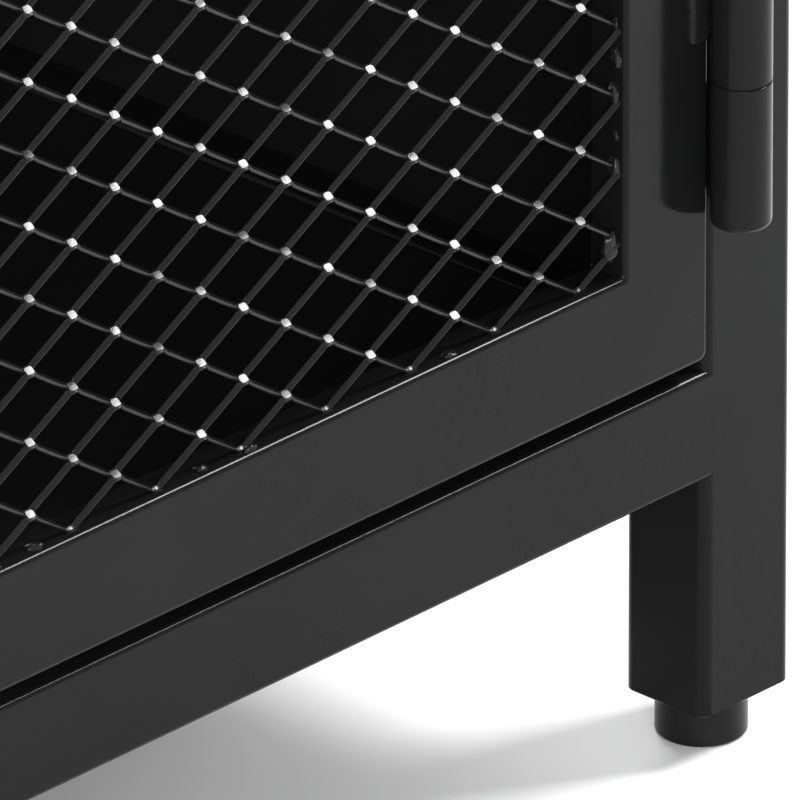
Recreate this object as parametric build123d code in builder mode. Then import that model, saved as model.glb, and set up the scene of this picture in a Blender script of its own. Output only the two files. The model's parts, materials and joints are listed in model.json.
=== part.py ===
from build123d import *
import os

# A low steel cabinet for a television: a welded tube frame with three bays, a mesh door on
# weld-on barrel hinges in front of each outer bay, and an open bay between them.
# Millimetres.  X runs left to right, the front is -Y, Z is up from the floor.
# The origin is on the floor, under the middle of the stand with its door knobs included.

# ---- driving dimensions -------------------------------------------------------------------
WIDTH = 1100.0
DEPTH = 400.0
HEIGHT = 500.0
TOP_THICKNESS = 15.0
TOP_EDGE_RADIUS = 1.5
TOP_CORNER_RADIUS = 3.0

LEG_WIDTH = 26.0          # across the front
LEG_DEPTH = 22.0          # front to back
LEG_RADIUS = 2.7          # outside corners of the tube
RAIL_RADIUS = 1.5
INSIDE_RADIUS = 0.3       # the least that an inside corner has
TUBE_WALL = 1.5
RAIL_HEIGHT = 24.0
RAIL_THICKNESS = 22.0
LEG_BELOW_RAIL = 53.3

FOOT_HEIGHT = 9.8
FOOT_DIAMETER = 18.5
FOOT_GAP = 0.2            # between the foot and the end of the leg
FOOT_EDGE = 0.9
STUD_DIAMETER = 8.0
STUD_LENGTH = 26.0
STUD_CLEARANCE = 0.08     # on the radius
STUD_CHAMFER = 0.8
INSERT_LENGTH = 32.0
INSERT_RADIUS = 2.3       # clears the inside corners of the leg

BAY_WIDTH = 332.0
SHEET = 1.2
TRAY_LIP = 15.0
SHEET_BEND = 1.8
SIDE_PANEL_INSET = 8.0    # outer face of a side panel behind the outer face of the legs
SHELF_TOP = 282.0
SHELF_SIDE_GAP = 0.5
SHELF_SETBACK = 1.0
CLIP_LEG = 16.0
CLIP_WIDTH = 14.0
CLIP_THICKNESS = 1.5

DOOR_THICKNESS = 10.0
DOOR_STILE = 24.5
DOOR_RAIL = 26.5
DOOR_RADIUS = 1.6
DOOR_WALL = 1.2
DOOR_INNER_RADIUS = 0.6
DOOR_PROUD = 2.25         # door face in front of the leg face
HINGE_GAP = 1.5
LATCH_GAP = 2.5
DOOR_GAP_BOTTOM = 4.3
DOOR_GAP_TOP = 2.5

MESH_LONG = 24.3          # long way of a diamond, along X
MESH_SHORT = 15.55        # short way, along Z
MESH_STRAND = 2.2
MESH_THICKNESS = 1.6
MESH_SETBACK = 1.7        # mesh behind the door face
MESH_EDGE_STRIP = 1.0     # solid strip along the edge, welded to the frame
MESH_FIRST_X = 23.2       # a column of bonds, in from the hinge side of the opening
MESH_FIRST_Z = 8.45       # a row of bonds, up from the bottom of the opening

BARREL_DIAMETER = 12.5
BARREL_LENGTH = 31.5
BARREL_EDGE = 1.0
BARREL_STANDOFF = 0.4     # barrel in front of the door face
BARREL_FROM_DOOR = 2.1    # barrel axis beyond the edge of the door
BARREL_SEAM = 0.3
PIN_DIAMETER = 7.0
PIN_CLEARANCE = 0.06      # on the radius
PIN_HALF = 22.0
HINGE_HEIGHTS = {"bottom": 155.0, "top": 395.0}
PIN_CHAMFER = 0.8
BORE_SPARE = 1.0          # room above the pin
WELD_WIDTH = 2.4          # of the web that joins a barrel to the face behind it
DOOR_WELD_END = 7.5       # the web stops this far from the ends of the barrel
LEG_WELD_END = 3.0

KNOB_DIAMETER = 22.0
KNOB_LENGTH = 24.0
KNOB_STUD = 4.0
KNOB_HEIGHT = 275.0

CATCH_LENGTH = 42.0
CATCH_HEIGHT = 12.0
CATCH_EDGE = 1.0
CATCH_GAP = 0.3

TAB_SIZE = 32.0
TAB_THICKNESS = 3.0
SCREW_DIAMETER = 4.0
SCREW_BITE = 11.0
SCREW_HEAD = 8.0
SCREW_HEAD_HEIGHT = 2.4
SCREW_HEAD_EDGE = 1.6
SCREW_PLAY = 0.4          # on the radius, in the tab

# ---- levels and faces worked out from them -------------------------------------------------
LEG_BOTTOM = FOOT_HEIGHT + FOOT_GAP
LEG_TOP = HEIGHT - TOP_THICKNESS
RAIL_BOTTOM = LEG_BOTTOM + LEG_BELOW_RAIL
RAIL_TOP = RAIL_BOTTOM + RAIL_HEIGHT
BAY_CEILING = LEG_TOP - RAIL_HEIGHT
BACK = (DEPTH + DOOR_PROUD + KNOB_LENGTH) / 2
FRONT = BACK - DEPTH
INNER_FRONT = FRONT + LEG_DEPTH
INNER_BACK = BACK - LEG_DEPTH
MID_Y = (FRONT + BACK) / 2
LEG_X = WIDTH / 2 - LEG_WIDTH / 2
LEG_Y = {"front": FRONT + LEG_DEPTH / 2, "back": BACK - LEG_DEPTH / 2}
LEG_INNER = WIDTH / 2 - LEG_WIDTH       # inner side of the legs
SIDE_RAIL_X = WIDTH / 2 - RAIL_THICKNESS / 2
POST_X = BAY_WIDTH / 2 + LEG_WIDTH / 2
POST_OUTER = POST_X + LEG_WIDTH / 2

DOOR_FACE = FRONT - DOOR_PROUD
DOOR_MID = DOOR_FACE + DOOR_THICKNESS / 2
DOOR_BACK = DOOR_FACE + DOOR_THICKNESS
DOOR_OUTER = LEG_INNER - HINGE_GAP
DOOR_INNER = POST_OUTER + LATCH_GAP
DOOR_BOTTOM = RAIL_TOP + DOOR_GAP_BOTTOM
DOOR_TOP = BAY_CEILING - DOOR_GAP_TOP
HINGE_X = DOOR_OUTER + BARREL_FROM_DOOR
HINGE_Y = DOOR_FACE - BARREL_STANDOFF - BARREL_DIAMETER / 2

SIDES = {"left": -1, "right": 1}
CORNERS = {end + "_" + side: (sx, y) for end, y in LEG_Y.items() for side, sx in SIDES.items()}


def save(piece, name):
    """Label a finished piece and write it as one STEP file."""
    piece.part.label = name
    export_step(piece.part, "parts/" + name + ".step")


def tube(start, direction, length, wide, high, x_dir, radius, wall=TUBE_WALL):
    """A straight rounded rectangular tube; wide is measured along x_dir."""
    with BuildPart() as piece:
        with BuildSketch(Plane(origin=start, x_dir=x_dir, z_dir=direction)):
            RectangleRounded(wide, high, radius)
            inside = max(radius - wall, INSIDE_RADIUS)
            RectangleRounded(wide - 2 * wall, high - 2 * wall, inside, mode=Mode.SUBTRACT)
        extrude(amount=length)
    return piece


def upright(x, y, bottom, top):
    return tube((x, y, bottom), (0, 0, 1), top - bottom, LEG_WIDTH, LEG_DEPTH, (1, 0, 0), LEG_RADIUS)


def rail_along_x(x0, x1, y, bottom):
    start = (x0, y, bottom + RAIL_HEIGHT / 2)
    return tube(start, (1, 0, 0), x1 - x0, RAIL_THICKNESS, RAIL_HEIGHT, (0, 1, 0), RAIL_RADIUS)


def rail_along_y(x, y0, y1, bottom):
    start = (x, y0, bottom + RAIL_HEIGHT / 2)
    return tube(start, (0, 1, 0), y1 - y0, RAIL_THICKNESS, RAIL_HEIGHT, (1, 0, 0), RAIL_RADIUS)


def tray(x0, x1, y0, y1, top):
    """A sheet with its four edges folded down."""
    centre = ((x0 + x1) / 2, (y0 + y1) / 2, top - TRAY_LIP)
    with BuildPart() as piece:
        with BuildSketch(Plane(origin=centre)):
            Rectangle(x1 - x0, y1 - y0)
        extrude(amount=TRAY_LIP)
        folds = piece.faces().sort_by(Axis.Z)[-1].edges()
        fillet(folds, SHEET_BEND)
        open_face = piece.faces().sort_by(Axis.Z)[0]
        offset(amount=-SHEET, openings=open_face)
    return piece


def panel_facing_x(x, y0, y1, z0, z1):
    """A flat sheet across X, from x to x + SHEET."""
    with BuildPart() as piece:
        middle = (x, (y0 + y1) / 2, (z0 + z1) / 2)
        with BuildSketch(Plane(origin=middle, x_dir=(0, 1, 0), z_dir=(1, 0, 0))):
            Rectangle(y1 - y0, z1 - z0)
        extrude(amount=SHEET)
    return piece


os.makedirs("parts", exist_ok=True)

# ---- welded frame ---------------------------------------------------------------------------
for corner, (sx, y) in CORNERS.items():
    save(upright(sx * LEG_X, y, LEG_BOTTOM, LEG_TOP), "leg_" + corner)
    save(upright(sx * POST_X, y, RAIL_TOP, BAY_CEILING), "divider_post_" + corner)

for end, y in LEG_Y.items():
    save(rail_along_x(-LEG_INNER, LEG_INNER, y, RAIL_BOTTOM), end + "_bottom_rail")
    save(rail_along_x(-LEG_INNER, LEG_INNER, y, BAY_CEILING), end + "_top_rail")

for side, sx in SIDES.items():
    save(rail_along_y(sx * SIDE_RAIL_X, INNER_FRONT, INNER_BACK, RAIL_BOTTOM), "side_bottom_rail_" + side)
    save(rail_along_y(sx * SIDE_RAIL_X, INNER_FRONT, INNER_BACK, BAY_CEILING), "side_top_rail_" + side)
    save(rail_along_y(sx * POST_X, INNER_FRONT, INNER_BACK, RAIL_BOTTOM), "cross_rail_" + side)

# ---- sheet-metal panels, floors and the shelf -------------------------------------------------
side_rail_inner = SIDE_RAIL_X - RAIL_THICKNESS / 2
cross_rail_half = RAIL_THICKNESS / 2

for side, sx in SIDES.items():
    face = WIDTH / 2 - SIDE_PANEL_INSET - SHEET
    start = face if sx > 0 else -face - SHEET
    save(panel_facing_x(start, INNER_FRONT, INNER_BACK, RAIL_TOP, BAY_CEILING), "side_panel_" + side)

    start = sx * POST_X - SHEET / 2
    save(panel_facing_x(start, INNER_FRONT, INNER_BACK, RAIL_TOP, LEG_TOP), "divider_panel_" + side)

    near = POST_X + cross_rail_half
    span = sorted((sx * near, sx * side_rail_inner))
    save(tray(span[0], span[1], INNER_FRONT, INNER_BACK, RAIL_TOP), "bay_floor_" + side)

centre_edge = POST_X - cross_rail_half
save(tray(-centre_edge, centre_edge, INNER_FRONT, INNER_BACK, RAIL_TOP), "bay_floor_centre")

shelf_edge = BAY_WIDTH / 2 - SHELF_SIDE_GAP
save(
    tray(-shelf_edge, shelf_edge, FRONT + SHELF_SETBACK, BACK - SHELF_SETBACK, SHELF_TOP),
    "centre_shelf",
)

# angle clips that the shelf rests on, one on each divider post
with BuildPart() as shelf_clips:
    for sx, y in CORNERS.values():
        clip_corner = (sx * BAY_WIDTH / 2, y + CLIP_WIDTH / 2, SHELF_TOP - TRAY_LIP)
        with BuildSketch(Plane(origin=clip_corner, x_dir=(1, 0, 0), z_dir=(0, -1, 0))):
            with BuildLine():
                Polyline(
                    (0, 0),
                    (-sx * CLIP_LEG, 0),
                    (-sx * CLIP_LEG, -CLIP_THICKNESS),
                    (-sx * CLIP_THICKNESS, -CLIP_THICKNESS),
                    (-sx * CLIP_THICKNESS, -CLIP_LEG),
                    (0, -CLIP_LEG),
                    close=True,
                )
            make_face()
        extrude(amount=CLIP_WIDTH)
save(shelf_clips, "shelf_clips")

# ---- top --------------------------------------------------------------------------------------
with BuildPart() as top_board:
    with BuildSketch(Plane(origin=(0, MID_Y, LEG_TOP))):
        RectangleRounded(WIDTH, DEPTH, TOP_CORNER_RADIUS)
    extrude(amount=TOP_THICKNESS)
    fillet(top_board.faces().sort_by(Axis.Z)[-1].edges(), TOP_EDGE_RADIUS)
    fillet(top_board.faces().sort_by(Axis.Z)[0].edges(), TOP_EDGE_RADIUS / 2)
    tab_xs = (-BAY_WIDTH, 0.0, BAY_WIDTH)
    tab_ys = (INNER_FRONT + TAB_SIZE / 2, INNER_BACK - TAB_SIZE / 2)
    tab_spots = [(x, y) for x in tab_xs for y in tab_ys]
    with BuildSketch(Plane.XY.offset(LEG_TOP)):
        with Locations(*tab_spots):
            Circle(SCREW_DIAMETER / 2)
    extrude(amount=SCREW_BITE, mode=Mode.SUBTRACT)
save(top_board, "top_board")

# plates welded to the inside of the top rails, with a hole each for a wood screw
with BuildPart() as top_tabs:
    with BuildSketch(Plane.XY.offset(LEG_TOP - TAB_THICKNESS)):
        with Locations(*tab_spots):
            Rectangle(TAB_SIZE, TAB_SIZE)
            Circle(SCREW_DIAMETER / 2 + SCREW_PLAY, mode=Mode.SUBTRACT)
    extrude(amount=TAB_THICKNESS)
save(top_tabs, "top_tabs")

with BuildPart() as top_screws:
    with BuildSketch(Plane.XY.offset(LEG_TOP - TAB_THICKNESS)):
        with Locations(*tab_spots):
            Circle(SCREW_DIAMETER / 2)
    extrude(amount=TAB_THICKNESS + SCREW_BITE)
    with BuildSketch(Plane.XY.offset(LEG_TOP - TAB_THICKNESS)):
        with Locations(*tab_spots):
            Circle(SCREW_HEAD / 2)
    extrude(amount=-SCREW_HEAD_HEIGHT)
    head_rims = top_screws.faces().group_by(Axis.Z)[0].edges()
    fillet(head_rims, SCREW_HEAD_EDGE)
save(top_screws, "top_screws")

# ---- feet ---------------------------------------------------------------------------------------
with BuildPart() as foot_inserts:
    insert_width = LEG_WIDTH - 2 * TUBE_WALL
    insert_depth = LEG_DEPTH - 2 * TUBE_WALL
    with BuildSketch(Plane.XY.offset(LEG_BOTTOM)):
        with Locations(*[(sx * LEG_X, y) for sx, y in CORNERS.values()]):
            RectangleRounded(insert_width, insert_depth, INSERT_RADIUS)
            Circle(STUD_DIAMETER / 2 + STUD_CLEARANCE, mode=Mode.SUBTRACT)
    extrude(amount=INSERT_LENGTH)
save(foot_inserts, "foot_inserts")

for corner, (sx, y) in CORNERS.items():
    with BuildPart() as foot:
        with BuildSketch(Plane(origin=(sx * LEG_X, y, 0))):
            Circle(FOOT_DIAMETER / 2)
        extrude(amount=FOOT_HEIGHT)
        fillet(foot.edges().filter_by(GeomType.CIRCLE).sort_by(Axis.Z)[0], FOOT_EDGE)
        fillet(foot.edges().filter_by(GeomType.CIRCLE).sort_by(Axis.Z)[-1], FOOT_EDGE / 2)
        with BuildSketch(Plane(origin=(sx * LEG_X, y, FOOT_HEIGHT))):
            Circle(STUD_DIAMETER / 2)
        extrude(amount=STUD_LENGTH)
        chamfer(foot.edges().sort_by(Axis.Z)[-1], STUD_CHAMFER)
    save(foot, "foot_" + corner)

# ---- doors --------------------------------------------------------------------------------------
mesh_back = DOOR_FACE + MESH_SETBACK + MESH_THICKNESS


def door_tube(start, direction, length, wide, x_dir, outline, stud_spot=None):
    """One side of a door frame, mitred at both ends.

    outline is the side's shape in the plane of the door, with its mitres; stud_spot is where a
    knob's stud goes through it.
    """
    with BuildPart() as piece:
        with BuildSketch(Plane(origin=start, x_dir=x_dir, z_dir=direction)):
            RectangleRounded(wide, DOOR_THICKNESS, DOOR_RADIUS)
            inner_wide = wide - 2 * DOOR_WALL
            inner_thick = DOOR_THICKNESS - 2 * DOOR_WALL
            RectangleRounded(inner_wide, inner_thick, DOOR_INNER_RADIUS, mode=Mode.SUBTRACT)
        extrude(amount=length)
        with BuildSketch(Plane(origin=(0, DOOR_MID, 0), x_dir=(1, 0, 0), z_dir=(0, -1, 0))):
            with BuildLine():
                Polyline(*outline, close=True)
            make_face()
        extrude(amount=DOOR_THICKNESS, both=True, mode=Mode.INTERSECT)
        if stud_spot:
            with BuildSketch(Plane(origin=stud_spot, x_dir=(1, 0, 0), z_dir=(0, 1, 0))):
                Circle(KNOB_STUD / 2)
            extrude(amount=DOOR_THICKNESS, mode=Mode.SUBTRACT)
    return piece


for side, sx in SIDES.items():
    outer = sx * DOOR_OUTER
    inner = sx * DOOR_INNER
    hinge_edge = outer - sx * DOOR_STILE
    latch_edge = inner + sx * DOOR_STILE
    low = DOOR_BOTTOM + DOOR_RAIL
    high = DOOR_TOP - DOOR_RAIL
    door_height = DOOR_TOP - DOOR_BOTTOM
    knob_spot = (inner + sx * DOOR_STILE / 2, DOOR_FACE, KNOB_HEIGHT)

    hinge_stile = door_tube(
        (outer - sx * DOOR_STILE / 2, DOOR_MID, DOOR_BOTTOM),
        (0, 0, 1),
        door_height,
        DOOR_STILE,
        (1, 0, 0),
        [(outer, DOOR_BOTTOM), (hinge_edge, low), (hinge_edge, high), (outer, DOOR_TOP)],
    )
    save(hinge_stile, "door_hinge_stile_" + side)

    latch_stile = door_tube(
        (inner + sx * DOOR_STILE / 2, DOOR_MID, DOOR_BOTTOM),
        (0, 0, 1),
        door_height,
        DOOR_STILE,
        (1, 0, 0),
        [(inner, DOOR_BOTTOM), (latch_edge, low), (latch_edge, high), (inner, DOOR_TOP)],
        stud_spot=knob_spot,
    )
    save(latch_stile, "door_latch_stile_" + side)

    bottom_rail = door_tube(
        (min(outer, inner), DOOR_MID, DOOR_BOTTOM + DOOR_RAIL / 2),
        (1, 0, 0),
        abs(outer - inner),
        DOOR_RAIL,
        (0, 0, 1),
        [(outer, DOOR_BOTTOM), (hinge_edge, low), (latch_edge, low), (inner, DOOR_BOTTOM)],
    )
    save(bottom_rail, "door_bottom_rail_" + side)

    top_rail = door_tube(
        (min(outer, inner), DOOR_MID, DOOR_TOP - DOOR_RAIL / 2),
        (1, 0, 0),
        abs(outer - inner),
        DOOR_RAIL,
        (0, 0, 1),
        [(outer, DOOR_TOP), (hinge_edge, high), (latch_edge, high), (inner, DOOR_TOP)],
    )
    save(top_rail, "door_top_rail_" + side)

    # expanded metal: a plate with rows of diamond openings, every second row shifted half a pitch
    opening_width = abs(hinge_edge - latch_edge)
    opening_height = high - low
    half_long = MESH_LONG / 2 - MESH_STRAND
    half_short = half_long * MESH_SHORT / MESH_LONG
    room_x = opening_width / 2 - MESH_EDGE_STRIP - half_long
    room_z = opening_height / 2 - MESH_EDGE_STRIP - half_short
    centres = []
    for row in range(int(2 * opening_height / MESH_SHORT) + 2):
        z = MESH_FIRST_Z + (row - 1) * MESH_SHORT / 2 - opening_height / 2
        for column in range(int(opening_width / MESH_LONG) + 2):
            # halfway between two bonds of this row
            along = MESH_FIRST_X + (column - 0.5 - 0.5 * (row % 2 == 0)) * MESH_LONG
            x = sx * (opening_width / 2 - along)
            if abs(x) < room_x and abs(z) < room_z:
                centres.append((x, z))
    mesh_middle = ((hinge_edge + latch_edge) / 2, mesh_back, (low + high) / 2)
    with BuildPart() as mesh:
        with BuildSketch(Plane(origin=mesh_middle, x_dir=(1, 0, 0), z_dir=(0, -1, 0))):
            Rectangle(opening_width, opening_height)
            with Locations(*centres):
                points = [(-half_long, 0), (0, half_short), (half_long, 0), (0, -half_short)]
                Polygon(*points, mode=Mode.SUBTRACT)
        extrude(amount=MESH_THICKNESS)
    save(mesh, "door_mesh_" + side)

    # a turned knob with its stud through the latch stile
    foot_radius = KNOB_DIAMETER * 0.28
    neck = (KNOB_DIAMETER * 0.2, -KNOB_LENGTH * 0.35)
    brim = (KNOB_DIAMETER * 0.5, -KNOB_LENGTH * 0.75)
    shoulder = (KNOB_DIAMETER * 0.42, -KNOB_LENGTH * 0.93)
    with BuildPart() as knob:
        with BuildSketch(Plane(origin=knob_spot, x_dir=(1, 0, 0), z_dir=(0, 0, 1))):
            with BuildLine():
                Line((0, 0), (foot_radius, 0))
                Spline((foot_radius, 0), neck, brim)
                Spline(brim, shoulder, (0, -KNOB_LENGTH), tangents=[(0, -1), (-1, 0)])
                Line((0, -KNOB_LENGTH), (0, 0))
            make_face()
        revolve(axis=Axis(knob_spot, (0, 1, 0)))
        with BuildSketch(Plane(origin=knob_spot, x_dir=(1, 0, 0), z_dir=(0, 1, 0))):
            Circle(KNOB_STUD / 2)
        extrude(amount=DOOR_THICKNESS)
    save(knob, "door_knob_" + side)

# ---- hinges --------------------------------------------------------------------------------------
pin_spots = []
for side, sx in SIDES.items():
    axis_x = sx * HINGE_X
    for level, seam in HINGE_HEIGHTS.items():
        # the half on the door: a blind bore, and a weld web back to the door face
        upper_bottom = seam + BARREL_SEAM
        with BuildPart() as upper_barrel:
            with BuildSketch(Plane(origin=(axis_x, HINGE_Y, upper_bottom))):
                Circle(BARREL_DIAMETER / 2)
            extrude(amount=BARREL_LENGTH)
            fillet(upper_barrel.edges().filter_by(GeomType.CIRCLE).sort_by(Axis.Z)[-1], BARREL_EDGE)
            web_x = sx * (DOOR_OUTER - DOOR_RADIUS - WELD_WIDTH / 2)
            web_bottom = upper_bottom + DOOR_WELD_END
            with BuildSketch(Plane(origin=(web_x, (HINGE_Y + DOOR_FACE) / 2, web_bottom))):
                Rectangle(WELD_WIDTH, DOOR_FACE - HINGE_Y)
            extrude(amount=BARREL_LENGTH - 2 * DOOR_WELD_END)
            with BuildSketch(Plane(origin=(axis_x, HINGE_Y, upper_bottom))):
                Circle(PIN_DIAMETER / 2 + PIN_CLEARANCE)
            extrude(amount=PIN_HALF + BORE_SPARE, mode=Mode.SUBTRACT)
        save(upper_barrel, "hinge_upper_barrel_" + level + "_" + side)

        # the half on the leg, which holds the pin
        lower_bottom = seam - BARREL_LENGTH
        with BuildPart() as lower_barrel:
            with BuildSketch(Plane(origin=(axis_x, HINGE_Y, lower_bottom))):
                Circle(BARREL_DIAMETER / 2)
            extrude(amount=BARREL_LENGTH)
            fillet(lower_barrel.edges().filter_by(GeomType.CIRCLE).sort_by(Axis.Z)[0], BARREL_EDGE)
            web_x = sx * (LEG_INNER + LEG_RADIUS + WELD_WIDTH / 2)
            web_bottom = lower_bottom + LEG_WELD_END
            with BuildSketch(Plane(origin=(web_x, (HINGE_Y + FRONT) / 2, web_bottom))):
                Rectangle(WELD_WIDTH, FRONT - HINGE_Y)
            extrude(amount=BARREL_LENGTH - 2 * LEG_WELD_END)
            with BuildSketch(Plane(origin=(axis_x, HINGE_Y, seam))):
                Circle(PIN_DIAMETER / 2)
            extrude(amount=-PIN_HALF, mode=Mode.SUBTRACT)
        save(lower_barrel, "hinge_lower_barrel_" + level + "_" + side)
        pin_spots.append((axis_x, HINGE_Y, seam - PIN_HALF))

with BuildPart() as hinge_pins:
    for spot in pin_spots:
        with BuildSketch(Plane(origin=spot)):
            Circle(PIN_DIAMETER / 2)
        extrude(amount=2 * PIN_HALF)
    pin_tops = hinge_pins.faces().filter_by(GeomType.PLANE).filter_by(lambda face: face.normal_at().Z > 0.5)
    chamfer(pin_tops.edges(), PIN_CHAMFER)
save(hinge_pins, "hinge_pins")

# ---- magnetic catches under the front top rail -----------------------------------------------------
with BuildPart() as magnet_catches:
    catch_depth = INNER_FRONT - DOOR_BACK - CATCH_GAP
    for sx in SIDES.values():
        catch_x = sx * (DOOR_INNER + DOOR_STILE + CATCH_LENGTH)
        catch_middle = (catch_x, INNER_FRONT - catch_depth / 2, BAY_CEILING - CATCH_HEIGHT)
        with BuildSketch(Plane(origin=catch_middle)):
            RectangleRounded(CATCH_LENGTH, catch_depth, 2 * CATCH_EDGE)
        extrude(amount=CATCH_HEIGHT)
    fillet(magnet_catches.faces().group_by(Axis.Z)[0].edges(), CATCH_EDGE)
save(magnet_catches, "magnet_catches")
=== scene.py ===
"""Looks of a black steel television stand: welded tube, expanded-metal doors, barrel hinges.

Everything is in metres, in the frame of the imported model: X to the right, -Y the front, Z up.
"""

import json
import math
import random

import bmesh
import bpy
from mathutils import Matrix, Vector, noise


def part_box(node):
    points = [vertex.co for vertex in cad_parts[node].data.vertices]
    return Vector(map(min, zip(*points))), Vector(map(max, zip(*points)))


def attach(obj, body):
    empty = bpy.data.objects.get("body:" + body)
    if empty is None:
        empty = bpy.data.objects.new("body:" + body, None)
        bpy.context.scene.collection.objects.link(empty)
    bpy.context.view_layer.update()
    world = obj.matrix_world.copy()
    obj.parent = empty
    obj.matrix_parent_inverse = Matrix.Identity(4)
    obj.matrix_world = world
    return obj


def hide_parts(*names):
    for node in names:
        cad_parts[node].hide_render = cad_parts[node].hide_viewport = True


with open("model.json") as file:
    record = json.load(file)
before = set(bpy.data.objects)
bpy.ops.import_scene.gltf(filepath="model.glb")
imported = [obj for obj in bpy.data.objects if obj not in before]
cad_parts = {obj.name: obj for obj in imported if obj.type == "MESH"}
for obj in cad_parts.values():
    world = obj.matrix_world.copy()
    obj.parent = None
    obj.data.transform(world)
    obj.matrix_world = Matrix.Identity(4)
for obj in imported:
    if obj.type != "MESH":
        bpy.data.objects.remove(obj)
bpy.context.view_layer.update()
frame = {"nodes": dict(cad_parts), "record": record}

MM = 0.001

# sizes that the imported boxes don't give
LEG_RADIUS = 2.7 * MM
RAIL_RADIUS = 1.5 * MM
TUBE_WALL = 1.5 * MM
INSIDE_RADIUS = 0.3 * MM
CUT_EASE = 0.3 * MM          # softened rim of a tube end that stays open
BUTT_EASE = 0.01 * MM        # rim of a tube end that butts on another tube
DOOR_RADIUS = 1.35 * MM
DOOR_CORNER = 1.7 * MM       # outside corner of a door frame, ground round
MESH_LONG = 24.3 * MM
MESH_SHORT = 15.55 * MM
MESH_FIRST_X = 23.0 * MM     # a column of bonds, in from the hinge side of the opening
MESH_FIRST_Z = 7.65 * MM     # a row of bonds, up from the bottom of the opening
STRAND_WIDTH = 1.3 * MM
STRAND_THICKNESS = 0.85 * MM
STRAND_TILT = math.radians(53)
STRAND_EASE = 0.16 * MM
MESH_SINK = 0.4 * MM         # how far the cut mesh goes into the door frame
BOND_LENGTH = 2.6 * MM
BOND_CURVE = 0.5 * MM
BOND_WIDTH = 2.3 * MM
BOND_THICKNESS = 1.25 * MM
WELD_MARGIN = 14 * MM        # left free of small welds at the ends of each side
PAD_OFFSET = 0.8 * MM        # the foot pads sit a little inward of their legs
PAD_SPARE = 0.15 * MM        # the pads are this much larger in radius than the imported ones
STUD_RADIUS = 4.0 * MM
THREAD_PITCH = 1.25 * MM
THREAD_TURNS = 17
CORNER_STEPS = 7

SIDES = {"left": -1, "right": 1}
ENDS = ("front", "back")


# ---- mesh helpers ----------------------------------------------------------------------------

def new_piece(name, verts, faces, material, sharp=math.radians(35)):
    """A smooth-shaded mesh object whose flat faces stay flat."""
    mesh = bpy.data.meshes.new(name)
    mesh.from_pydata([tuple(v) for v in verts], [], faces)
    mesh.validate()
    mesh.shade_smooth()
    mesh.set_sharp_from_angle(angle=sharp)
    mesh.materials.append(material)
    piece = bpy.data.objects.new(name, mesh)
    bpy.context.scene.collection.objects.link(piece)
    keep_faces_flat(piece)
    return piece


def keep_faces_flat(piece):
    """Weights the shading by face size, so that narrow roundings don't tilt the flats."""
    weighted = piece.modifiers.new("even normals", "WEIGHTED_NORMAL")
    weighted.keep_sharp = True


def stand_in(piece, body, slot, *nodes):
    """The piece rides on a body and stands for CAD nodes, if any; its slot argument is not used."""
    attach(piece, body)
    if nodes:
        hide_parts(*nodes)
    return piece


def loft(rings, loop=False):
    """Verts and faces of a skin over rings of equal length: capped, or joined end to end by loop."""
    count = len(rings[0])
    verts = [point for ring in rings for point in ring]
    faces = []
    spans = len(rings) if loop else len(rings) - 1
    for i in range(spans):
        a = i * count
        b = ((i + 1) % len(rings)) * count
        for j in range(count):
            k = (j + 1) % count
            faces.append((a + j, a + k, b + k, b + j))
    if not loop:
        faces.append(tuple(reversed(range(count))))
        faces.append(tuple(range((len(rings) - 1) * count, len(rings) * count)))
    return verts, faces


def add_part(verts, faces, more):
    """Appends one (verts, faces) pair to running lists."""
    base = len(verts)
    verts.extend(more[0])
    faces.extend(tuple(base + i for i in face) for face in more[1])


def rounded_rect(wide, high, radius, steps=CORNER_STEPS):
    """Points of a rounded rectangle about (0, 0), anticlockwise."""
    points = []
    for quarter, (sx, sy) in enumerate(((1, 1), (-1, 1), (-1, -1), (1, -1))):
        cx = sx * (wide / 2 - radius)
        cy = sy * (high / 2 - radius)
        for step in range(steps + 1):
            angle = math.radians(90) * (quarter + step / steps)
            points.append((cx + radius * math.cos(angle), cy + radius * math.sin(angle)))
    return points


def hollow_tube(low, high, axis, radius, ease):
    """A square-cut rounded tube that fills a box, as (verts, faces); ease softens its ends."""
    others = [i for i in range(3) if i != axis]
    size = [high[i] - low[i] for i in range(3)]
    middle = [(high[i] + low[i]) / 2 for i in range(3)]
    wide, tall = size[others[0]], size[others[1]]

    def ring(shrink, along):
        corner = max(radius - shrink, INSIDE_RADIUS)
        outline = rounded_rect(wide - 2 * shrink, tall - 2 * shrink, corner)
        points = []
        for u, v in outline:
            point = [0.0, 0.0, 0.0]
            point[axis] = along
            point[others[0]] = middle[others[0]] + u
            point[others[1]] = middle[others[1]] + v
            points.append(point)
        return points

    rings = [
        ring(0, low[axis] + ease),
        ring(0, high[axis] - ease),
        ring(ease, high[axis]),
        ring(TUBE_WALL, high[axis]),
        ring(TUBE_WALL, low[axis]),
        ring(ease, low[axis]),
    ]
    verts, faces = loft(rings, loop=True)
    if axis != 1:
        return verts, faces
    # the two other axes make a left-handed pair along Y, so its faces are turned over
    return verts, [tuple(reversed(face)) for face in faces]


def lathe(profile, centre, steps, axis=2):
    """A turned solid: profile is (radius, along) points from the axis to the axis."""
    verts = []
    rings = []
    for radius, along in profile:
        if radius < 1e-7:
            rings.append([len(verts)])
            verts.append(turned_point(centre, axis, 0.0, 0.0, along))
            continue
        rings.append(list(range(len(verts), len(verts) + steps)))
        for step in range(steps):
            angle = 2 * math.pi * step / steps
            u, v = radius * math.cos(angle), radius * math.sin(angle)
            verts.append(turned_point(centre, axis, u, v, along))
    faces = []
    for first, second in zip(rings, rings[1:]):
        for step in range(steps):
            nxt = (step + 1) % steps
            if len(first) == 1:
                faces.append((first[0], second[nxt], second[step]))
            elif len(second) == 1:
                faces.append((first[step], first[nxt], second[0]))
            else:
                faces.append((first[step], first[nxt], second[nxt], second[step]))
    return verts, faces


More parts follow.
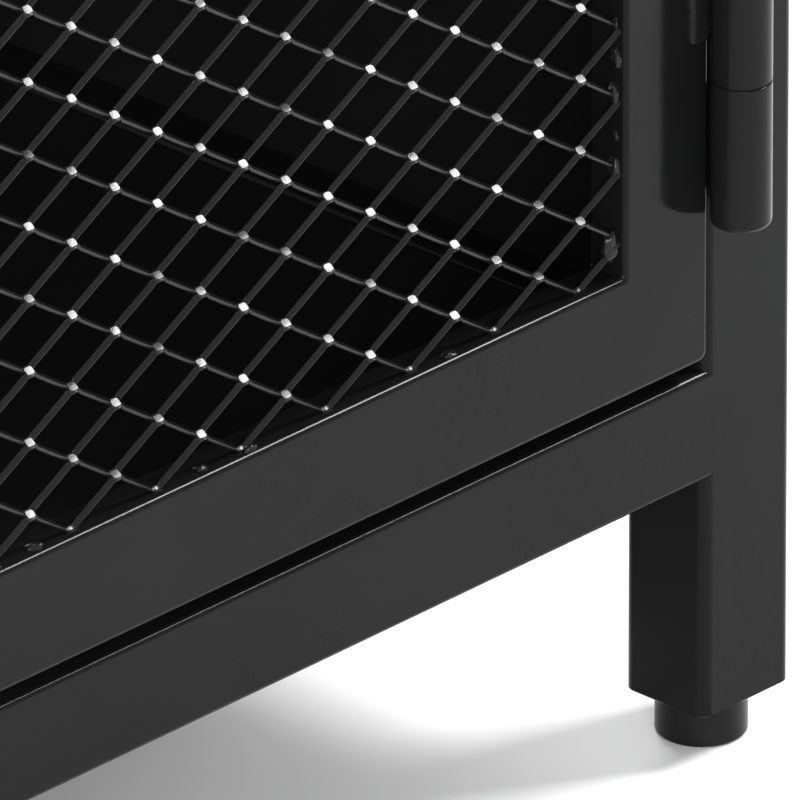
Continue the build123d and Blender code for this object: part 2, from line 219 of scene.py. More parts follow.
def turned_point(centre, axis, u, v, along):
    """A point at (u, v) across and along from a centre, for an axis along Z or Y."""
    if axis == 2:
        return (centre[0] + u, centre[1] + v, centre[2] + along)
    return (centre[0] + u, centre[1] + along, centre[2] - v)


def arc_points(cx, cy, radius, start, end, steps=6):
    """Points of an arc in degrees, both ends included."""
    points = []
    for step in range(steps + 1):
        angle = math.radians(start + (end - start) * step / steps)
        points.append((cx + radius * math.cos(angle), cy + radius * math.sin(angle)))
    return points


def bead(path, wide, deep, seed):
    """A smooth weld bead along an upright path, wide across X and deep along Y, as (verts, faces)."""
    points = [Vector(p) for p in path]
    length = sum((b - a).length for a, b in zip(points, points[1:]))
    ripple = 1.6 * MM
    stations = max(8, int(length / (ripple / 4)))
    sides = 20
    squareness = 0.6         # 1 would be an ellipse, less is boxier
    rings = []
    for i in range(stations + 1):
        t = i / stations
        centre = along_path(points, t)
        swell = 0.03 * math.sin(2 * math.pi * t * length / ripple + seed)
        swell += 0.2 * noise.noise(centre / (4.5 * MM) + Vector((seed, 0, 0)))
        blunt_end = (1 - abs(2 * t - 1) ** 30) ** 0.5
        grow = (1 + swell) * max(blunt_end, 0.15)
        ring = []
        for j in range(sides):
            angle = 2 * math.pi * j / sides
            pair = (math.cos(angle), math.sin(angle))
            across, out = (math.copysign(abs(c) ** squareness, c) for c in pair)
            ring.append(centre + Vector((wide * grow * across, deep * grow * out, 0)))
        rings.append(ring)
    return loft(rings)


def along_path(points, t):
    """The point at fraction t of a polyline."""
    lengths = [(b - a).length for a, b in zip(points, points[1:])]
    target = t * sum(lengths)
    for index, length in enumerate(lengths):
        if target <= length or index == len(lengths) - 1:
            a, b = points[index], points[index + 1]
            return a.lerp(b, min(1.0, target / length))
        target -= length


def blob(centre, size, seed):
    """A lump of weld or thick paint, as (verts, faces)."""
    steps = 16
    profile = []
    for i in range(steps + 1):
        angle = math.pi * i / steps
        profile.append((math.sin(angle), -math.cos(angle)))
    profile[0] = (0.0, -1.0)
    profile[-1] = (0.0, 1.0)
    verts, faces = lathe(profile, (0, 0, 0), steps=24)
    shift = Vector((seed * 1.7, seed * 0.3, 0))
    shaped = []
    for v in verts:
        v = Vector(v)
        broad = 0.35 * noise.noise(v * 1.3 + shift)
        small = 0.18 * noise.noise(v * 3.5 + shift)
        v *= 1 + broad + small
        shaped.append(Vector(centre) + Vector((v.x * size[0], v.y * size[1], v.z * size[2])))
    return shaped, faces


# ---- materials -------------------------------------------------------------------------------

class Nodes:
    """A material's node tree, with short calls for the nodes that the finishes share."""

    def __init__(self, name):
        self.material = bpy.data.materials.new(name)
        self.material.use_nodes = True
        self.tree = self.material.node_tree
        self.tree.nodes.clear()
        self.shader = self.add("ShaderNodeBsdfPrincipled")
        output = self.add("ShaderNodeOutputMaterial")
        self.link(self.shader.outputs[0], output.inputs[0])
        self.place = self.add("ShaderNodeTexCoord").outputs["Object"]

    def add(self, kind, **settings):
        node = self.tree.nodes.new(kind)
        for key, value in settings.items():
            setattr(node, key, value)
        return node

    def link(self, output, socket):
        self.tree.links.new(output, socket)

    def noise(self, per_metre, detail=3.0, roughness=0.5, stretch=(1, 1, 1)):
        """Noise with about this many cells to the metre."""
        mapping = self.add("ShaderNodeMapping")
        mapping.inputs["Scale"].default_value = stretch
        self.link(self.place, mapping.inputs["Vector"])
        texture = self.add("ShaderNodeTexNoise")
        texture.inputs["Scale"].default_value = per_metre
        texture.inputs["Detail"].default_value = detail
        texture.inputs["Roughness"].default_value = roughness
        self.link(mapping.outputs[0], texture.inputs["Vector"])
        return texture.outputs[0]

    def remap(self, value, low, high, to_low, to_high):
        node = self.add("ShaderNodeMapRange")
        for socket, number in zip(node.inputs[1:5], (low, high, to_low, to_high)):
            socket.default_value = number
        self.link(value, node.inputs[0])
        return node.outputs[0]

    def mix(self, factor, first, second):
        """Mixes two colours, each a linear RGB triple or a socket."""
        node = self.add("ShaderNodeMix", data_type="RGBA")
        self.link(factor, node.inputs[0])
        for socket, colour in zip((node.inputs[6], node.inputs[7]), (first, second)):
            if isinstance(colour, tuple):
                socket.default_value = (*colour, 1)
            else:
                self.link(colour, socket)
        return node.outputs[2]

    def bump(self, height, distance, strength=1.0, under=None):
        node = self.add("ShaderNodeBump")
        node.inputs["Strength"].default_value = strength
        node.inputs["Distance"].default_value = distance
        self.link(height, node.inputs["Height"])
        if under is not None:
            self.link(under, node.inputs["Normal"])
        return node.outputs[0]

    def finish(self, colour, roughness, normal=None, **constants):
        self.link(colour, self.shader.inputs["Base Color"])
        self.link(roughness, self.shader.inputs["Roughness"])
        if normal is not None:
            self.link(normal, self.shader.inputs["Normal"])
        for key, value in constants.items():
            self.shader.inputs[key.replace("_", " ")].default_value = value
        return self.material


def grey(level, warm=0.0):
    return (level * (1 + warm), level, level * (1 - warm))


def paint(name, level=0.0065, gloss=0.15, peel=1.0, ior=1.2):
    """Semi-gloss black powder coat: orange peel, slow waviness, faint smears and dust."""
    dust = 0.3
    n = Nodes(name)
    broad = n.noise(9, 4.0, 0.6)
    fine = n.noise(210, 3.0, 0.55)
    base = n.mix(n.remap(broad, 0.3, 0.7, 0, 1), grey(level * 0.8, 0.02), grey(level * 1.3, -0.03))
    specks = n.remap(n.noise(1500, 2.0, 0.5), 0.70, 0.78, 0.0, dust)
    base = n.mix(specks, base, grey(0.06, 0.03))
    smear = n.remap(n.noise(35, 5.0, 0.65, (1, 1, 0.35)), 0.35, 0.75, gloss * 0.88, gloss * 1.25)
    peel_height = n.bump(n.noise(950, 2.0, 0.5), 0.000012 * peel)
    ripple = n.bump(fine, 0.00003 * peel, 1.0, peel_height)
    wave = n.bump(n.noise(40, 1.0, 0.4), 0.00006 * peel, 1.0, ripple)
    return n.finish(base, smear, wave, IOR=ior)


def moulded(name, level=0.006, gloss=0.3):
    """Black moulded plastic with a fine spark-eroded grain."""
    n = Nodes(name)
    broad = n.noise(60, 4.0, 0.6)
    base = n.mix(n.remap(broad, 0.3, 0.7, 0, 1), grey(level * 0.8), grey(level * 1.4, 0.02))
    scuff = n.remap(n.noise(400, 4.0, 0.7, (1, 1, 0.2)), 0.58, 0.75, 0.0, 0.3)
    base = n.mix(scuff, base, grey(level * 3))
    rough = n.remap(n.noise(160, 3.0, 0.6), 0.3, 0.7, gloss * 0.85, gloss * 1.2)
    grain = n.bump(n.noise(2600, 2.0, 0.6), 0.00002)
    soft = n.bump(n.noise(120, 2.0, 0.5), 0.00008, 1.0, grain)
    return n.finish(base, rough, soft, IOR=1.25)


def laminate(name):
    """Black wood-grain laminate: long grain in colour, gloss and emboss, running along X."""
    n = Nodes(name)
    along = (0.05, 1, 1)
    grain = n.noise(420, 6.0, 0.62, along)
    bands = n.noise(46, 3.0, 0.55, along)
    tone = n.mix(n.remap(bands, 0.3, 0.7, 0, 1), grey(0.010, 0.05), grey(0.024, 0.08))
    pores = n.remap(grain, 0.52, 0.66, 0.0, 0.85)
    base = n.mix(pores, tone, grey(0.005, 0.02))
    rough = n.remap(grain, 0.35, 0.65, 0.5, 0.68)
    emboss = n.bump(grain, 0.00012, 0.9)
    soft = n.bump(n.noise(25, 1.0, 0.4), 0.0001, 0.4, emboss)
    return n.finish(base, rough, soft, IOR=1.3)


def bare_steel(name, level=0.5):
    """Turned or plated steel with fine lathe marks."""
    n = Nodes(name)
    marks = n.noise(2200, 2.0, 0.5, (0.2, 0.2, 1))
    stain = n.noise(180, 4.0, 0.65)
    base = n.mix(n.remap(stain, 0.35, 0.7, 0, 1), grey(level), grey(level * 0.6, 0.06))
    rough = n.remap(marks, 0.3, 0.7, 0.24, 0.4)
    return n.finish(base, rough, n.bump(marks, 0.00001), Metallic=1.0)


def pale_floor(name):
    n = Nodes(name)
    base = n.mix(n.remap(n.noise(3, 3.0), 0.3, 0.7, 0, 1), grey(0.90), grey(0.93))
    rough = n.remap(n.noise(20, 3.0), 0.3, 0.7, 0.7, 0.85)
    return n.finish(base, rough)


FINISHES = {
    "frame_paint": paint("frame paint"),
    "door_paint": paint("door paint", gloss=0.13),
    "mesh_paint": paint("mesh paint", 0.0075, 0.22, 1.5, ior=1.34),
    # painted light: the sheets are the same black as the frame, but their base is lighter to brighten
    # the dim inside of the bays
    "sheet_paint": paint("sheet paint", 0.0095, 0.2, 1.6),
    "hinge_paint": paint("hinge paint", 0.009, 0.15, 1.2),
    "knob_paint": paint("knob paint", gloss=0.14),
    "foot_plastic": moulded("foot plastic"),
    "insert_plastic": moulded("plug plastic", 0.012, 0.5),
    "catch_plastic": moulded("catch plastic", 0.012, 0.45),
    "top_laminate": laminate("top laminate"),
    "pin_steel": bare_steel("pin steel"),
    "screw_steel": bare_steel("plated screw", 0.38),
}


# ---- frame tubes and the fills at their joints -----------------------------------------------

def tube_nodes():
    """Each straight frame tube and the axis it runs along."""
    nodes = {}
    for end in ENDS:
        nodes[end + "_bottom_rail"] = 0
        nodes[end + "_top_rail"] = 0
        for side in SIDES:
            nodes["leg_" + end + "_" + side] = 2
            nodes["divider_post_" + end + "_" + side] = 2
    for side in SIDES:
        nodes["side_bottom_rail_" + side] = 1
        nodes["side_top_rail_" + side] = 1
        nodes["cross_rail_" + side] = 1
    return nodes


def make_tubes():
    """The straight tubes of the welded frame, each in the place of its packed one."""
    for node, axis in tube_nodes().items():
        low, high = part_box(node)
        radius = LEG_RADIUS if axis == 2 else RAIL_RADIUS
        ease = CUT_EASE if node.startswith("leg_") else BUTT_EASE
        verts, faces = hollow_tube(low, high, axis, radius, ease)
        piece = new_piece(node + "_tube", verts, faces, FINISHES["frame_paint"])
        stand_in(piece, "frame", "frame_paint", node)


def joint_fill(corner, into, out, span, half, tube_radius, onto_radius):
    """The ground weld that carries a tube's flush face over the round corner it butts on.

    corner is on the flush plane, at the end of the tube and the middle of its width; into runs
    along the tube, out is the flush face's normal, span runs across the tube's width.
    """
    into, out, span = Vector(into), Vector(out), Vector(span)
    deeper = 0.12 * MM
    steps = 10
    rings = []
    for i in range(steps + 1):
        t = onto_radius * i / steps
        room = onto_radius - math.sqrt(onto_radius ** 2 - (onto_radius - t) ** 2)
        start = math.degrees(math.asin(max(0.0, 1 - room / tube_radius)))
        section = []
        for x, y in arc_points(0, 0, tube_radius, start, 90, CORNER_STEPS):
            section.append((-half + tube_radius - x, tube_radius - y))
        section += [(-s, d) for s, d in reversed(section)]
        section.append((section[-1][0], room + deeper))
        section.append((section[0][0], room + deeper))
        base = Vector(corner) + into * t
        rings.append([base + span * s - out * d for s, d in section])
    return loft(rings)


def make_joint_fills():
    """Ground welds at every joint whose faces are flush."""
    verts, faces = [], []
    leg_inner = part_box("leg_front_right")[0].x
    for end, out_y in (("front", -1), ("back", 1)):
        rail_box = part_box(end + "_bottom_rail")
        face_y = rail_box[0].y if out_y < 0 else rail_box[1].y
        out = (0, out_y, 0)
        for level in ("bottom", "top"):
            low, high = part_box(end + "_" + level + "_rail")
            for sx in SIDES.values():
                corner = (sx * leg_inner, face_y, (low.z + high.z) / 2)
                span, half = (0, 0, sx * out_y), (high.z - low.z) / 2
                fill = joint_fill(corner, (sx, 0, 0), out, span, half, RAIL_RADIUS, LEG_RADIUS)
                add_part(verts, faces, fill)
        for side, sx in SIDES.items():
            low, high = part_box("divider_post_" + end + "_" + side)
            middle = (low.x + high.x) / 2
            half = (high.x - low.x) / 2
            for z, up in ((low.z, -1), (high.z, 1)):
                corner, span = (middle, face_y, z), (-up * out_y, 0, 0)
                fill = joint_fill(corner, (0, 0, up), out, span, half, LEG_RADIUS, RAIL_RADIUS)
                add_part(verts, faces, fill)
            for level in ("bottom", "top"):
                low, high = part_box("side_" + level + "_rail_" + side)
                face_x = high.x if sx > 0 else low.x
                y = low.y if out_y < 0 else high.y
                corner = (face_x, y, (low.z + high.z) / 2)
                span, half = (0, 0, -sx * out_y), (high.z - low.z) / 2
                fill = joint_fill(corner, (0, out_y, 0), (sx, 0, 0), span, half, RAIL_RADIUS, LEG_RADIUS)
                add_part(verts, faces, fill)
    piece = new_piece("frame_joint_fills", verts, faces, FINISHES["frame_paint"])
    stand_in(piece, "frame", "frame_paint")


# ---- doors -----------------------------------------------------------------------------------

def door_edges(side):
    """The door's outline and its opening in X and Z, and its front and back in Y."""
    parts = ["door_hinge_stile_", "door_latch_stile_", "door_bottom_rail_", "door_top_rail_"]
    boxes = [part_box(part + side) for part in parts]
    mesh_low, mesh_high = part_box("door_mesh_" + side)
    low = Vector([min(b[0][i] for b in boxes) for i in range(3)])
    high = Vector([max(b[1][i] for b in boxes) for i in range(3)])
    return low, high, mesh_low, mesh_high


def make_door_frame(side):
    """The door's tube frame as one skin, welded and ground at its corners."""
    low, high, hole_low, hole_high = door_edges(side)
    outer = rounded_rect(high.x - low.x, high.z - low.z, DOOR_CORNER)
    inner = rounded_rect(hole_high.x - hole_low.x, hole_high.z - hole_low.z, DOOR_CORNER * 0.45)
    centre_x, centre_z = (low.x + high.x) / 2, (low.z + high.z) / 2
    hole_x, hole_z = (hole_low.x + hole_high.x) / 2, (hole_low.z + hole_high.z) / 2
    wide = hole_low.x - low.x
    thick = high.y - low.y
    section = rounded_rect(wide, thick, DOOR_RADIUS)
    rings = []
    for (ox, oz), (ix, iz) in zip(outer, inner):
        ring = []
        for across, depth in section:
            u = across / wide + 0.5
            x = (centre_x + ox) * (1 - u) + (hole_x + ix) * u
            z = (centre_z + oz) * (1 - u) + (hole_z + iz) * u
            ring.append((x, (low.y + high.y) / 2 + depth, z))
        rings.append(ring)
    verts, faces = loft(rings, loop=True)
    piece = new_piece("door_frame_" + side, verts, faces, FINISHES["door_paint"])
    nodes = ["door_hinge_stile_", "door_latch_stile_", "door_bottom_rail_", "door_top_rail_"]
    stand_in(piece, "door_" + side, "door_paint", *[node + side for node in nodes])


def strand_path(row, x0, x1, z0, y, first_x, sign):
    """Centre line of one strand: it dips to the bonds of its row and rises to the next."""
    half_long, half_short = MESH_LONG / 2, MESH_SHORT / 2
    lift = STRAND_WIDTH / 2 * math.cos(STRAND_TILT)
    lean = STRAND_WIDTH / 2 * math.sin(STRAND_TILT)
    low_z = z0 + row * half_short + lift
    high_z = z0 + (row + 1) * half_short - lift
    flat = BOND_LENGTH / 2
    count = int((x1 - x0) / half_long) + 6
    points = []
    for i in range(-3, count):
        at = first_x + sign * i * half_long
        is_low = (i + row) % 2 == 0
        here = (low_z, y + lean) if is_low else (high_z, y - lean)
        there = (high_z, y - lean) if is_low else (low_z, y + lean)
        # each stop: how far along half a pitch, and what part of the rise is done by then
        stops = ((0, 0), (flat, 0.01), (flat + BOND_CURVE, 0.09), (half_long / 2, 0.5))
        stops += ((half_long - flat - BOND_CURVE, 0.91), (half_long - flat, 0.99))
        for along, part in stops:
            z = here[0] + (there[0] - here[0]) * part
            depth = here[1] + (there[1] - here[1]) * part
            points.append(Vector((at + sign * along, depth, z)))
    return points


def strand(points):
    """Sweeps the strand's flat section along its path."""
    wide, thick, ease = STRAND_WIDTH / 2, STRAND_THICKNESS / 2, STRAND_EASE
    outline = [
        (wide, thick - ease), (wide - ease, thick), (-wide + ease, thick), (-wide, thick - ease),
        (-wide, -thick + ease), (-wide + ease, -thick), (wide - ease, -thick), (wide, -thick + ease),
    ]
    flat_way = Vector((0, math.sin(STRAND_TILT), math.cos(STRAND_TILT)))
    rings = []
    for i, point in enumerate(points):
        tangent = (points[min(i + 1, len(points) - 1)] - points[max(i - 1, 0)]).normalized()
        wide_way = (flat_way - tangent * flat_way.dot(tangent)).normalized()
        thick_way = tangent.cross(wide_way)
        rings.append([point + wide_way * u + thick_way * v for u, v in outline])
    return loft(rings)


def bond(centre, rng):
    """The thick place where two strands meet, a plate a little off true, as (verts, faces)."""
    turn = STRAND_TILT + math.radians(rng.uniform(-3, 5))
    twist = math.radians(rng.uniform(-4, 4))
    wide_way = Vector((0, math.sin(turn), math.cos(turn)))
    out_way = Vector((math.sin(twist), -math.cos(turn), math.sin(turn)))
    corner = 0.5 * MM
    layers = ((0.1, -0.5), (0.0, 0.2), (0.25, 0.42), (0.6, 0.5))     # shrink in mm, part of the height
    rings = []
    for shrink, height in layers:
        ring = []
        out = out_way * (BOND_THICKNESS * height)
        for u, v in rounded_rect(BOND_LENGTH - shrink * MM, BOND_WIDTH - shrink * MM, corner, 2):
            ring.append(centre + Vector((u, 0, 0)) + wide_way * v + out)
        rings.append(ring)
    return loft(rings)


def make_mesh_panel(side):
    """The expanded metal of a door: strands and bonds, cut off just inside the frame."""
    sx = SIDES[side]
    _, _, low, high = door_edges(side)
    y = (low.y + high.y) / 2
    first_x = (high.x if sx > 0 else low.x) - sx * MESH_FIRST_X
    rows = int((high.z - low.z) / (MESH_SHORT / 2)) + 3
    verts, faces = [], []
    for row in range(-2, rows):
        points = strand_path(row, low.x, high.x, low.z + MESH_FIRST_Z, y, first_x, -sx)
        add_part(verts, faces, strand(points))
        rng = random.Random(row)
        columns = int((high.x - low.x + MESH_FIRST_X) / (MESH_LONG / 2)) + 2
        for index in range(row % 2, columns, 2):
            x = first_x - sx * (index - 2) * MESH_LONG / 2
            z = low.z + MESH_FIRST_Z + row * MESH_SHORT / 2
            if low.x < x < high.x and low.z < z < high.z:
                add_part(verts, faces, bond(Vector((x, y, z)), rng))
    mesh = bpy.data.meshes.new("door_mesh_panel_" + side)
    mesh.from_pydata([tuple(v) for v in verts], [], faces)
    shape = bmesh.new()
    shape.from_mesh(mesh)
    cuts = (
        ((low.x - MESH_SINK, y, 0), (-1, 0, 0)),
        ((high.x + MESH_SINK, y, 0), (1, 0, 0)),
        ((0, y, low.z - MESH_SINK), (0, 0, -1)),
        ((0, y, high.z + MESH_SINK), (0, 0, 1)),
    )
    for spot, normal in cuts:
        everything = shape.verts[:] + shape.edges[:] + shape.faces[:]
        plane = {"plane_co": spot, "plane_no": normal, "clear_outer": True}
        cut = bmesh.ops.bisect_plane(shape, geom=everything, **plane)
        rim = [item for item in cut["geom_cut"] if isinstance(item, bmesh.types.BMEdge)]
        bmesh.ops.edgenet_fill(shape, edges=rim)
    bmesh.ops.recalc_face_normals(shape, faces=shape.faces[:])
    shape.to_mesh(mesh)
    shape.free()
    mesh.shade_smooth()
    mesh.set_sharp_from_angle(angle=math.radians(50))
    mesh.materials.append(FINISHES["mesh_paint"])
    piece = bpy.data.objects.new("door_mesh_panel_" + side, mesh)
    bpy.context.scene.collection.objects.link(piece)
    keep_faces_flat(piece)
    stand_in(piece, "door_" + side, "mesh_paint", "door_mesh_" + side)


def make_mesh_welds(side):
    """Lumps of weld and paint where the mesh meets the inside of the door frame."""
    sx = SIDES[side]
    rng = random.Random(11 if side == "right" else 12)
    _, _, low, high = door_edges(side)
    y = (low.y + high.y) / 2
    verts, faces = [], []

    def lump(centre, size):
        add_part(verts, faces, blob(centre, size, rng.random() * 40))

    def spread(width):
        return (rng.random() - 0.5) * width

    def grown(size):
        grow = 0.6 + 0.6 * rng.random()
        return tuple(length * MM * grow for length in size)

    corner_size = (1.9 * MM, 1.5 * MM, 3.4 * MM)
    corner_in, corner_up = 1.6 * MM, 6.5 * MM
    for x, ux in ((low.x, 1), (high.x, -1)):
        for z, uz in ((low.z, 1), (high.z, -1)):
            lump((x + ux * corner_in, y + 0.2 * MM, z + uz * corner_up), corner_size)

    share_upright, share_level = 0.55, 0.5       # of the strand ends that have a lump of their own
    rows = int((high.z - low.z - WELD_MARGIN) / (MESH_SHORT / 2))
    for row in range(1, rows):
        z = low.z + MESH_FIRST_Z + row * MESH_SHORT / 2
        for x, ux in ((low.x, 1), (high.x, -1)):
            if rng.random() < share_upright:
                size = grown((0.9, 1.2, 2.0))
                lump((x + ux * 0.2 * MM, y + spread(MM), z + spread(3 * MM)), size)
    columns = int((high.x - low.x - WELD_MARGIN) / (MESH_LONG / 2))
    for column in range(1, columns):
        x = (high.x if sx > 0 else low.x) - sx * (MESH_FIRST_X + column * MESH_LONG / 2)
        for z, uz in ((low.z, 1), (high.z, -1)):
            if rng.random() < share_level:
                size = grown((1.8, 1.2, 0.8))
                lump((x + spread(4 * MM), y + spread(MM), z + uz * 0.1 * MM), size)
    piece = new_piece("door_mesh_welds_" + side, verts, faces, FINISHES["mesh_paint"], math.radians(80))
    stand_in(piece, "door_" + side, "mesh_paint")


def make_knob(side):
    """A turned knob on the latch stile, and the screw that holds it from behind."""
    low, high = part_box("door_knob_" + side)
    door_low, door_high, _, _ = door_edges(side)
    radius = (high.x - low.x) / 2
    length = door_low.y - low.y
    centre = ((low.x + high.x) / 2, door_low.y, (low.z + high.z) / 2)
    rim = radius * 0.2
    profile = [(0.0, -length), (radius * 0.55, -length * 0.985)]
    profile += [(r, -length + rim + a) for r, a in arc_points(radius * 0.8, 0, rim, -90, 0)]
    neck = (
        (1.0, 0.74), (0.93, 0.68), (0.55, 0.52), (0.42, 0.36), (0.42, 0.16),
        (0.5, 0.08), (0.62, 0.055), (0.64, 0.03), (0.64, 0.0),
    )
    profile += [(radius * part, -length * along) for part, along in neck]
    profile.append((0.0, 0.0))
    verts, faces = lathe(profile, centre, axis=1, steps=64)
    piece = new_piece("door_knob_turned_" + side, verts, faces, FINISHES["knob_paint"], math.radians(50))
    stand_in(piece, "door_" + side, "knob_paint", "door_knob_" + side)

    head = 3.6 * MM
    profile = [(0.0, 0.35 * MM), (0.9 * MM, 0.35 * MM), (1.0 * MM, 1.35 * MM), (head * 0.55, 1.6 * MM)]
    profile += [(head * 0.85, 1.25 * MM), (head, 0.7 * MM), (head, 0.0), (0.0, 0.0)]
    verts, faces = lathe(profile, (centre[0], door_high.y, centre[2]), axis=1, steps=36)
    faces = [tuple(reversed(face)) for face in faces]
    piece = new_piece("door_knob_screw_" + side, verts, faces, FINISHES["screw_steel"], math.radians(40))
    stand_in(piece, "door_" + side, "screw_steel")


# ---- hinges ----------------------------------------------------------------------------------

def barrel(centre, radius, bottom, top, round_bottom, round_top):
    """A hinge half as a turned solid with one well-rounded end and one crisp one."""
    lower_arc = arc_points(radius - round_bottom, 0, round_bottom, -90, 0)
    upper_arc = arc_points(radius - round_top, 0, round_top, 0, 90)
    profile = [(0.0, bottom)]
    profile += [(r, bottom + round_bottom + a) for r, a in lower_arc]
    profile += [(r, top - round_top + a) for r, a in upper_arc]
    profile.append((0.0, top))
    return lathe(profile, centre, steps=72)


def make_hinge(side, level):
    """Both halves of a lift-off hinge: barrels, the dark seam between them, and their weld beads."""
    sx = SIDES[side]
    upper = "hinge_upper_barrel_" + level + "_" + side
    lower = "hinge_lower_barrel_" + level + "_" + side
    low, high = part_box(lower)
    up_low, up_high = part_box(upper)
    radius = (high.x - low.x) / 2
    centre = ((low.x + high.x) / 2, low.y + radius, 0.0)
    door_low, door_high, _, _ = door_edges(side)
    leg_face = high.y
    door_edge = door_high.x if sx > 0 else door_low.x
    finish, sharp = FINISHES["hinge_paint"], math.radians(50)

    crisp, soft = 0.35 * MM, 1.3 * MM
    parts = [[], []]
    add_part(*parts, barrel(centre, radius, low.z, high.z, soft, crisp))
    neck = radius - 0.45 * MM
    neck_bottom, neck_top = high.z - MM, up_low.z - 0.02 * MM
    seam = [(0.0, neck_bottom), (neck, neck_bottom), (neck, neck_top), (0.0, neck_top)]
    add_part(*parts, lathe(seam, centre, steps=72))
    weld_x = centre[0] + sx * radius * 0.45
    weld_y = (leg_face + centre[1] + radius * 0.6) / 2
    run = [(weld_x, weld_y, low.z + 4 * MM), (weld_x, weld_y, high.z - 5 * MM)]
    add_part(*parts, bead(run, 2.4 * MM, 2.4 * MM, 3 + len(level)))
    piece = new_piece("hinge_leg_half_" + level + "_" + side, *parts, finish, sharp)
    stand_in(piece, "frame", "hinge_paint", lower)

    parts = [[], []]
    add_part(*parts, barrel(centre, radius, up_low.z, up_high.z, crisp, soft))
    weld_x = door_edge - sx * 3.2 * MM
    lean = sx * 0.4 * MM
    run = [(weld_x, door_low.y, up_low.z + 7.5 * MM), (weld_x - lean, door_low.y, up_high.z - 5 * MM)]
    add_part(*parts, bead(run, 3.3 * MM, 1.5 * MM, 7 + len(level)))
    piece = new_piece("hinge_door_half_" + level + "_" + side, *parts, finish, sharp)
    stand_in(piece, "door_" + side, "hinge_paint", upper)


# ---- feet ------------------------------------------------------------------------------------

def make_foot(corner):
    """A moulded pad with an eased rim, and its threaded stud."""
    node = "foot_" + corner
    low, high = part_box(node)
    leg_low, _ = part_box("leg_" + corner)
    radius = (high.x - low.x) / 2 + PAD_SPARE
    height = leg_low.z - 0.2 * MM
    edge = 0.9 * MM
    recess = 0.5 * MM
    centre = ((low.x + high.x) / 2, (low.y + high.y) / 2, 0.0)
    profile = [(0.0, recess), (radius * 0.62, recess), (radius * 0.68, 0.0)]
    profile += [(r, edge + a) for r, a in arc_points(radius - edge, 0, edge, -90, 0)]
    profile += [(r, height - edge / 2 + a) for r, a in arc_points(radius - edge / 2, 0, edge / 2, 0, 90)]
    profile.append((0.0, height))
    inward = (-math.copysign(PAD_OFFSET, centre[0]), -math.copysign(PAD_OFFSET, centre[1]))
    parts = [[], []]
    add_part(*parts, lathe(profile, (centre[0] + inward[0], centre[1] + inward[1], 0.0), steps=72))

    thread_depth = 0.5 * MM
    tip_radius = STUD_RADIUS - 0.8 * MM
    first_crest = height + 0.5 * MM
    thread = [(0.0, height - MM), (STUD_RADIUS, height - MM)]
    for turn in range(THREAD_TURNS):
        z = first_crest + turn * THREAD_PITCH
        thread += [(STUD_RADIUS, z), (STUD_RADIUS - thread_depth, z + THREAD_PITCH / 2)]
    thread += [(tip_radius, high.z), (0.0, high.z)]
    add_part(*parts, lathe(thread, centre, steps=36))
    piece = new_piece("levelling_" + node, *parts, FINISHES["foot_plastic"], math.radians(40))
    stand_in(piece, node + "_body", "foot_plastic", node)


# ---- nodes that keep their CAD shape ---------------------------------------------------------

def dress_cad_nodes():
    """Gives every carried-over CAD node the finish of its slot."""
    for part in frame["record"]["subparts"]:
        node = frame["nodes"][part["node"]]
        finish = FINISHES[part["material_slot"]]
        for index in range(len(node.material_slots)):
            node.material_slots[index].material = finish
        if not node.material_slots:
            node.data.materials.append(finish)


# ---- floor, light, camera --------------------------------------------------------------------

def make_floor():
    """A wide pale floor to stand on, which isn't part of the object."""
    reach = 30.0
    verts = [(-reach, -reach, 0), (reach, -reach, 0), (reach, reach, 0), (-reach, reach, 0)]
    floor = new_piece("floor", verts, [(0, 1, 2, 3)], pale_floor("pale floor"))


SURROUND_STRENGTH = 0.62


def area_light(name, position, target, size, watts):
    data = bpy.data.lights.new(name, "AREA")
    data.shape = "RECTANGLE"
    data.size, data.size_y = size
    data.energy = watts
    light = bpy.data.objects.new(name, data)
    light.location = position
    aim = Vector(target) - Vector(position)
    light.rotation_euler = aim.to_track_quat("-Z", "Y").to_euler()
    bpy.context.scene.collection.objects.link(light)


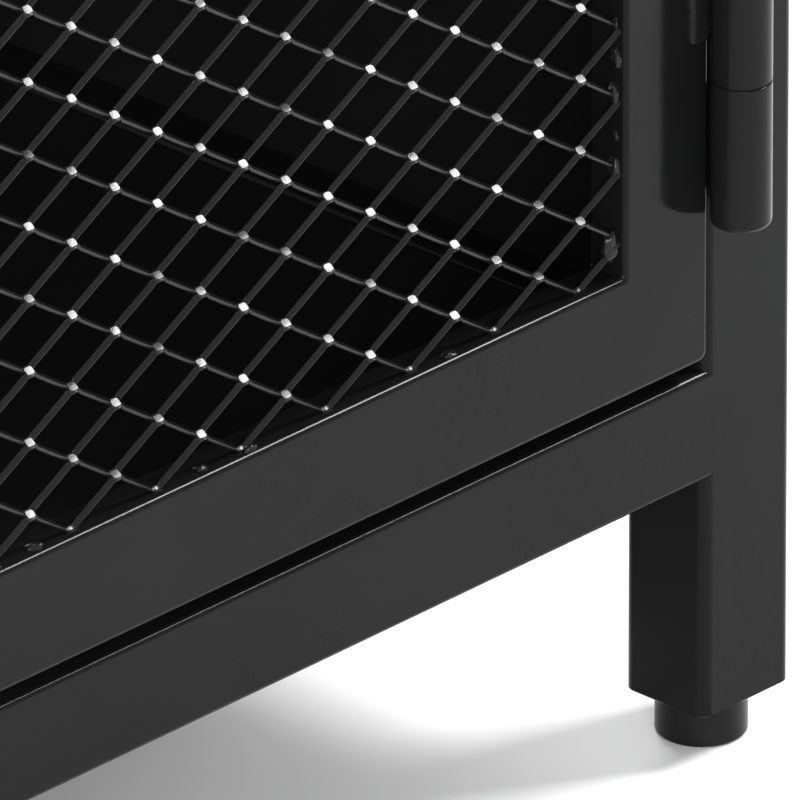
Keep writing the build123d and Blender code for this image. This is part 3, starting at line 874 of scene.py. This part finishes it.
def make_light():
    """A bright even surround and four soft boxes."""
    world = bpy.data.worlds.new("studio")
    world.use_nodes = True
    background = world.node_tree.nodes["Background"]
    background.inputs["Color"].default_value = (1.0, 1.0, 1.0, 1)
    background.inputs["Strength"].default_value = SURROUND_STRENGTH
    bpy.context.scene.world = world
    area_light("top softbox", (0.2, 0.0, 2.6), (0.2, 0.0, 0.3), (2.4, 1.6), 9)
    area_light("key light", (2.17, -0.88, 1.85), (0.52, -0.18, 0.09), (0.6, 0.6), 60)
    area_light("front left softbox", (-1.6, -2.4, 1.2), (0.1, 0, 0.2), (1.8, 1.2), 70)
    area_light("back softbox", (1.9, 2.3, 1.5), (0.3, 0.1, 0.15), (1.6, 1.2), 60)


VIEW_AZIMUTH = math.radians(-47.0)
VIEW_ELEVATION = math.radians(26.0)
VIEW_DISTANCE = 7.0          # past about 7.7 the lens is so long that views from other sides are clipped
VIEW_WIDTH = 0.160           # what the frame takes in, at the corner of the leg
CORNER_RIGHT = 0.0607        # the foot of that corner, right of and below the middle of the frame
CORNER_DOWN = 0.0642


def make_camera():
    """Looks down at the lower front corner of the right leg from the front left, long lens."""
    low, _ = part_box("leg_front_right")
    away = Vector((
        math.sin(VIEW_AZIMUTH) * math.cos(VIEW_ELEVATION),
        -math.cos(VIEW_AZIMUTH) * math.cos(VIEW_ELEVATION),
        math.sin(VIEW_ELEVATION),
    ))
    data = bpy.data.cameras.new("camera")
    camera = bpy.data.objects.new("camera", data)
    camera.rotation_euler = (-away).to_track_quat("-Z", "Y").to_euler()
    turn = camera.rotation_euler.to_matrix()
    right, up = turn.col[0], turn.col[1]
    middle = low - right * CORNER_RIGHT + up * CORNER_DOWN
    camera.location = middle + away * VIEW_DISTANCE
    data.sensor_width = 36.0
    data.lens = data.sensor_width * VIEW_DISTANCE / VIEW_WIDTH
    data.clip_end = 1000.0       # metres
    bpy.context.scene.collection.objects.link(camera)
    bpy.context.scene.camera = camera
    bpy.context.scene.view_settings.view_transform = "Standard"


make_camera()
make_light()
make_floor()
dress_cad_nodes()
make_tubes()
make_joint_fills()
for side in SIDES:
    make_door_frame(side)
    make_mesh_panel(side)
    make_mesh_welds(side)
    make_knob(side)
    for level in ("bottom", "top"):
        make_hinge(side, level)
    for end in ENDS:
        make_foot(end + "_" + side)

bpy.context.view_layer.update()
